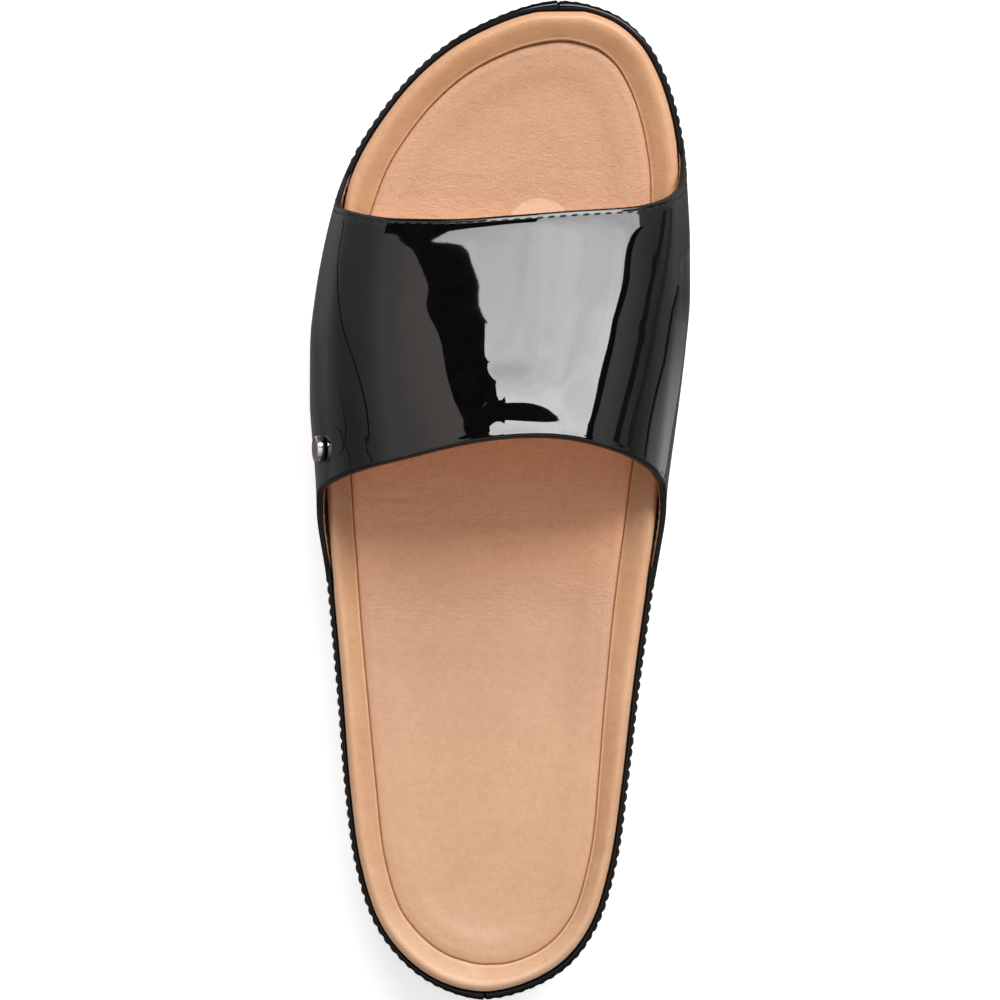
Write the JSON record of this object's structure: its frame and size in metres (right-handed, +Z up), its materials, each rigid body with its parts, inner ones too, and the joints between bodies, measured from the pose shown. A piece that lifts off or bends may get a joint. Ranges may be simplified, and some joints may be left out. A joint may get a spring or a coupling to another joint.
{
  "type": "platform slide sandal",
  "caption": "Left platform slide sandal: thick ribbed sole, moulded leather footbed with a raised rolled rim, one wide patent instep strap with a round metal rivet.",
  "frame": {"origin": "bottom centre of the whole shoe's bounding box, on the ground plane under the sole", "axes": "+Z up; +Y along the shoe from heel to toe; +X to the inner (big-toe) side of this left shoe"},
  "size_m": [0.0996, 0.2618, 0.0878],
  "materials": {
    "outsole_rubber": "satin black moulded rubber",
    "platform_rubber": "semi-gloss black moulded ribs",
    "band_patent": "gloss black patent",
    "footbed_leather": "satin tan leather, fine grain",
    "insole_leather": "satin tan leather, fine grain",
    "strap_patent": "high-gloss black patent, tan leather lining",
    "rivet_metal": "dull nickel face, polished rim"
  },
  "bodies": {
    "root": {"outsole": "outsole_rubber", "platform": "platform_rubber", "heel_band": "band_patent", "toe_band": "band_patent", "footbed": "footbed_leather", "insole": "insole_leather", "strap": "strap_patent", "rivet": "rivet_metal"}
  },
  "joints": []
}
